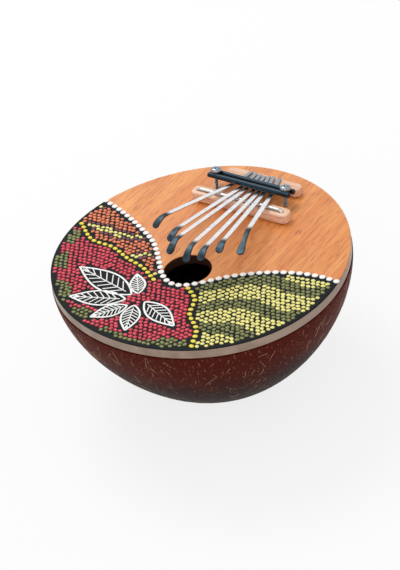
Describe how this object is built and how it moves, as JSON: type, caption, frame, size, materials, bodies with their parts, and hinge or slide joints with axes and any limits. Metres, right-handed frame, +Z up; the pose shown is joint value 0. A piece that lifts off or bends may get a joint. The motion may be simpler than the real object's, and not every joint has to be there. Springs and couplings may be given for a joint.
{
  "type": "kalimba",
  "caption": "Thumb piano: steel tines over a wooden soundboard with a sound hole, glued on a half coconut-shell bowl resonator.",
  "frame": {"origin": "middle of the sanded flat under the shell, which is the face the kalimba rests on", "axes": "+Z up through the soundboard, +X along the clamp rods to the player's right, +Y away from the player"},
  "size_m": [0.1421, 0.1429, 0.0883],
  "materials": {
    "coconut_shell": "sanded and oiled",
    "board_wood": "satin varnish, painted dots on the front",
    "block_wood": "sanded",
    "cleat_wood": "rough sawn",
    "tine_steel": "polished spring steel",
    "black_steel": "satin black",
    "zinc_plate": "bright zinc plate"
  },
  "bodies": {
    "root": {"shell_bowl": "coconut_shell", "soundboard": "board_wood", "screw_cleat": "cleat_wood", "bridge_block": "block_wood", "tail_block": "block_wood", "bridge_wire": "tine_steel", "clamp_rod_front": "black_steel", "clamp_rod_rear": "black_steel", "clamp_screw_left": "zinc_plate", "clamp_screw_right": "zinc_plate", "tine_tail_1": "tine_steel", "tine_tail_2": "tine_steel", "tine_tail_3": "tine_steel", "tine_tail_4": "tine_steel", "tine_tail_5": "tine_steel", "tine_tail_6": "tine_steel", "tine_tail_7": "tine_steel"},
    "tongue_1": {"tine_tongue_1": "tine_steel"},
    "tongue_2": {"tine_tongue_2": "tine_steel"},
    "tongue_3": {"tine_tongue_3": "tine_steel"},
    "tongue_4": {"tine_tongue_4": "tine_steel"},
    "tongue_5": {"tine_tongue_5": "tine_steel"},
    "tongue_6": {"tine_tongue_6": "tine_steel"},
    "tongue_7": {"tine_tongue_7": "tine_steel"}
  },
  "joints": [
    {"name": "pluck_1", "type": "hinge", "parent": "root", "child": "tongue_1", "pos_m": [-0.0142, 0.0366, 0.0776], "axis": [0.9839, -0.1788, 0], "range_deg": [-3, 4], "stiffness_Nm_per_rad": 2},
    {"name": "pluck_2", "type": "hinge", "parent": "root", "child": "tongue_2", "pos_m": [-0.0071, 0.0366, 0.0776], "axis": [1, 0.0017, 0], "range_deg": [-3, 4], "stiffness_Nm_per_rad": 1.7},
    {"name": "pluck_3", "type": "hinge", "parent": "root", "child": "tongue_3", "pos_m": [-0.0036, 0.0366, 0.0776], "axis": [0.9991, 0.0419, 0], "range_deg": [-3, 4], "stiffness_Nm_per_rad": 1.45},
    {"name": "pluck_4", "type": "hinge", "parent": "root", "child": "tongue_4", "pos_m": [0.0009, 0.0366, 0.0776], "axis": [0.9907, 0.1357, 0], "range_deg": [-3, 4], "stiffness_Nm_per_rad": 1.38},
    {"name": "pluck_5", "type": "hinge", "parent": "root", "child": "tongue_5", "pos_m": [0.0047, 0.0366, 0.0776], "axis": [0.9813, 0.1925, 0], "range_deg": [-3, 4], "stiffness_Nm_per_rad": 1.43},
    {"name": "pluck_6", "type": "hinge", "parent": "root", "child": "tongue_6", "pos_m": [0.008, 0.0366, 0.0776], "axis": [0.9724, 0.2334, 0], "range_deg": [-3, 4], "stiffness_Nm_per_rad": 1.69},
    {"name": "pluck_7", "type": "hinge", "parent": "root", "child": "tongue_7", "pos_m": [0.0128, 0.0366, 0.0776], "axis": [0.9542, 0.299, 0], "range_deg": [-3, 4], "stiffness_Nm_per_rad": 1.95}
  ]
}
